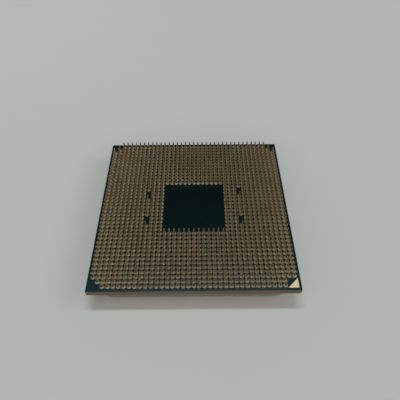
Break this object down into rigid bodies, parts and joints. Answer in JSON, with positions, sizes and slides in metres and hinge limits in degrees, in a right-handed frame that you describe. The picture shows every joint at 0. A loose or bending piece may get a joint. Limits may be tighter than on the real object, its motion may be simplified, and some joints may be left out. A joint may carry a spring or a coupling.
{
  "type": "cpu processor",
  "caption": "Square pin grid array processor lying on its metal lid: green laminate substrate, gold nail-head pins in solder, gold corner marker, lid bonded over the die.",
  "frame": {"origin": "centre of the lid's flat contact face, which the part lies on", "axes": "+Z out of the pin side, square to the substrate; -Y towards the picture's near edge and +X to its right, so the marked corner is at +X -Y"},
  "size_m": [0.04, 0.04, 0.0064],
  "materials": {
    "nickel_plated_copper": "satin nickel plate on copper",
    "silicone_sealant": "cured black silicone",
    "indium_solder": "dull soft metal",
    "silicon": "lapped silicon",
    "tin_solder": "reflowed solder",
    "underfill_epoxy": "dark cured epoxy",
    "capacitor_ceramic": "fired tan ceramic",
    "tinned_terminal": "matte tin plate",
    "solder_mask": "dark green satin coat",
    "gold_pad": "pale gold plate",
    "buildup_resin": "cut resin edge",
    "copper_plane": "copper foil",
    "glass_epoxy_core": "cut glass-fibre laminate edge",
    "gold_plated_pin": "thin gold plate",
    "pin_solder": "gold-stained solder"
  },
  "bodies": {
    "root": {"heat_spreader": "nickel_plated_copper", "lid_sealant": "silicone_sealant", "thermal_solder": "indium_solder", "silicon_die": "silicon", "die_bumps": "tin_solder", "die_underfill": "underfill_epoxy", "capacitor_bodies": "capacitor_ceramic", "capacitor_terminals": "tinned_terminal", "capacitor_solder": "tin_solder", "lid_side_mask": "solder_mask", "lid_side_marker": "gold_pad", "lid_side_buildup": "buildup_resin", "lid_side_copper": "copper_plane", "substrate_core": "glass_epoxy_core", "pin_side_copper": "copper_plane", "pin_side_buildup": "buildup_resin", "pin_side_mask": "solder_mask", "pin_side_marker": "gold_pad", "pins_back": "gold_plated_pin", "pins_front": "gold_plated_pin", "pins_left": "gold_plated_pin", "pins_right": "gold_plated_pin", "pin_solder_back": "pin_solder", "pin_solder_front": "pin_solder", "pin_solder_left": "pin_solder", "pin_solder_right": "pin_solder"}
  },
  "joints": []
}
